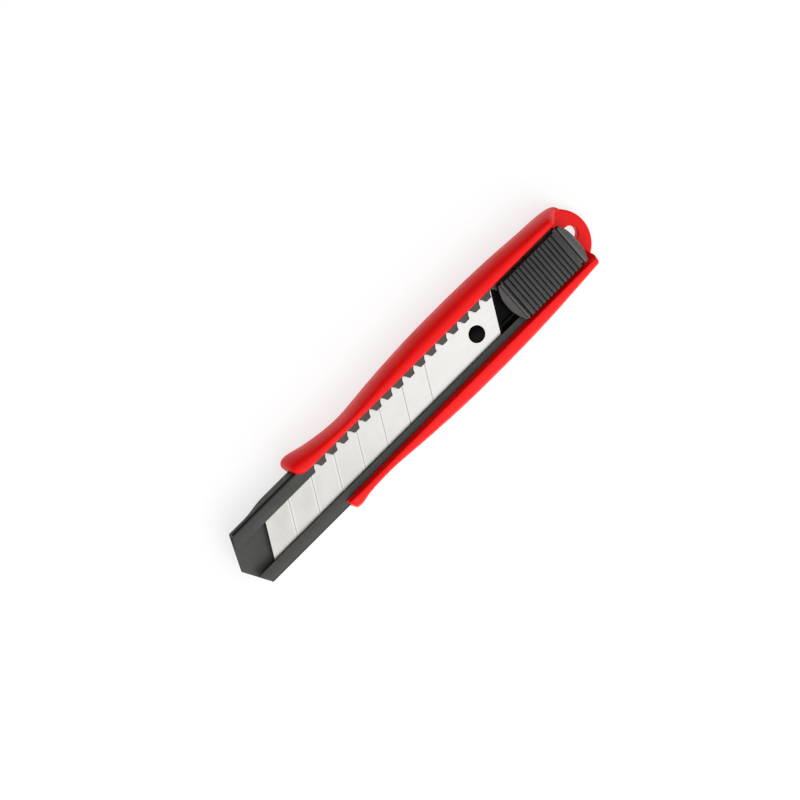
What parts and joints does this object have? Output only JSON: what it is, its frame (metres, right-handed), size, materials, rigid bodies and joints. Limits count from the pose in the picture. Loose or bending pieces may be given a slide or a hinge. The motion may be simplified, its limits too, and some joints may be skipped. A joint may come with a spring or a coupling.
{
  "type": "snap-off utility knife",
  "caption": "Snap-off utility knife: a folded steel guide in a one-piece moulded grip with a hang hole, and a ratcheting thumb slider that pushes the scored blade out of the nose.",
  "frame": {"origin": "centre of the knife's length and width, on its flat back", "axes": "+X out of the nose, +Y towards the blade's cutting edge, +Z towards the slider side"},
  "size_m": [0.1548, 0.0282, 0.0126],
  "materials": {
    "grip_plastic": "red moulded plastic with a soft gloss",
    "frame_plastic": "black moulded plastic",
    "guide_coating": "dark grey coated sheet steel, satin",
    "rivet_steel": "plain steel",
    "blade_steel": "ground blade steel",
    "carrier_plastic": "black moulded plastic, glossy",
    "slider_plastic": "dark grey moulded plastic",
    "button_plastic": "dark grey moulded plastic, ribbed",
    "spring_steel": "spring steel"
  },
  "bodies": {
    "handle": {"grip": "grip_plastic", "inner_frame": "frame_plastic", "blade_guide": "guide_coating", "guide_rivets": "rivet_steel"},
    "slider": {"blade": "blade_steel", "blade_carrier": "carrier_plastic", "slider_body": "slider_plastic", "button_springs": "spring_steel", "ratchet_spring": "spring_steel"},
    "button": {"thumb_button": "button_plastic"}
  },
  "joints": [
    {"name": "blade_slide", "type": "slide", "parent": "handle", "child": "slider", "axis": [1, 0, 0], "range_m": [0, 0.07782], "deforming": ["ratchet_spring"]},
    {"name": "button_play", "type": "slide", "parent": "slider", "child": "button", "axis": [1, 0, 0], "range_m": [-0.0007, 0.0007], "stiffness_N_per_m": 400, "deforming": ["button_springs"]}
  ]
}
